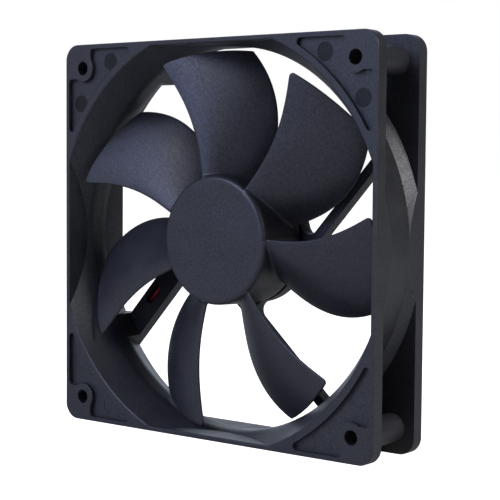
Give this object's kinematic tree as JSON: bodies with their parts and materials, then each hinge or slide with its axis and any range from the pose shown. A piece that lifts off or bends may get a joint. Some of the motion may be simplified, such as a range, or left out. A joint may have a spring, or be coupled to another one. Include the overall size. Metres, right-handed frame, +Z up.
{
  "type": "case fan",
  "caption": "Square axial computer case fan with a spinning bladed rotor, a brushless motor on rear struts and open screw corners.",
  "frame": {"origin": "centre of the fan on its rotation axis, halfway through its depth", "axes": "-Y faces the intake (front), +Y the exhaust (struts and motor base), +Z up; the fan stands on its lower edge and the rotor turns about Y"},
  "size_m": [0.12, 0.025, 0.12],
  "materials": {
    "black_plastic": "fine spark-eroded matte",
    "rotor_plastic": "fine matte",
    "plated_steel": "drawn and plated",
    "ferrite": "pressed bonded magnet",
    "brass": "turned",
    "sintered_bronze": "porous, oil-soaked",
    "polished_steel": "ground",
    "core_steel": "stacked laminations",
    "nylon": "natural nylon",
    "enamelled_copper": "varnished winding",
    "board": "solder mask",
    "chip_black": "moulded epoxy",
    "ceramic": "fired ceramic",
    "tinned_metal": "tinned",
    "wire_red": "PVC insulation",
    "wire_black": "PVC insulation",
    "wire_yellow": "PVC insulation",
    "plug_plastic": "glass-filled nylon",
    "label_film": "blank silver film"
  },
  "bodies": {
    "housing": {"frame": "black_plastic", "bearing_holder": "brass", "sleeve_bearing": "sintered_bronze", "oil_seal_washer": "nylon", "thrust_pad": "nylon", "bearing_end_cap": "plug_plastic", "stator_core": "core_steel", "upper_insulator": "nylon", "lower_insulator": "nylon", "coil_windings": "enamelled_copper", "coil_terminals": "tinned_metal", "circuit_board": "board", "driver_chip": "chip_black", "hall_sensor": "chip_black", "chip_capacitor": "ceramic", "chip_resistors": "chip_black", "lead_wire_red": "wire_red", "lead_wire_black": "wire_black", "lead_wire_yellow": "wire_yellow", "connector_housing": "plug_plastic", "connector_contacts": "tinned_metal", "rear_label": "label_film"},
    "rotor": {"impeller": "rotor_plastic", "rotor_yoke": "plated_steel", "ring_magnet": "ferrite", "shaft_boss": "brass", "shaft": "polished_steel", "retaining_clip": "nylon"}
  },
  "joints": [
    {"name": "rotor_spin", "type": "hinge", "parent": "housing", "child": "rotor", "pos_m": [0, 0, 0], "axis": [0, -1, 0], "continuous": true}
  ]
}
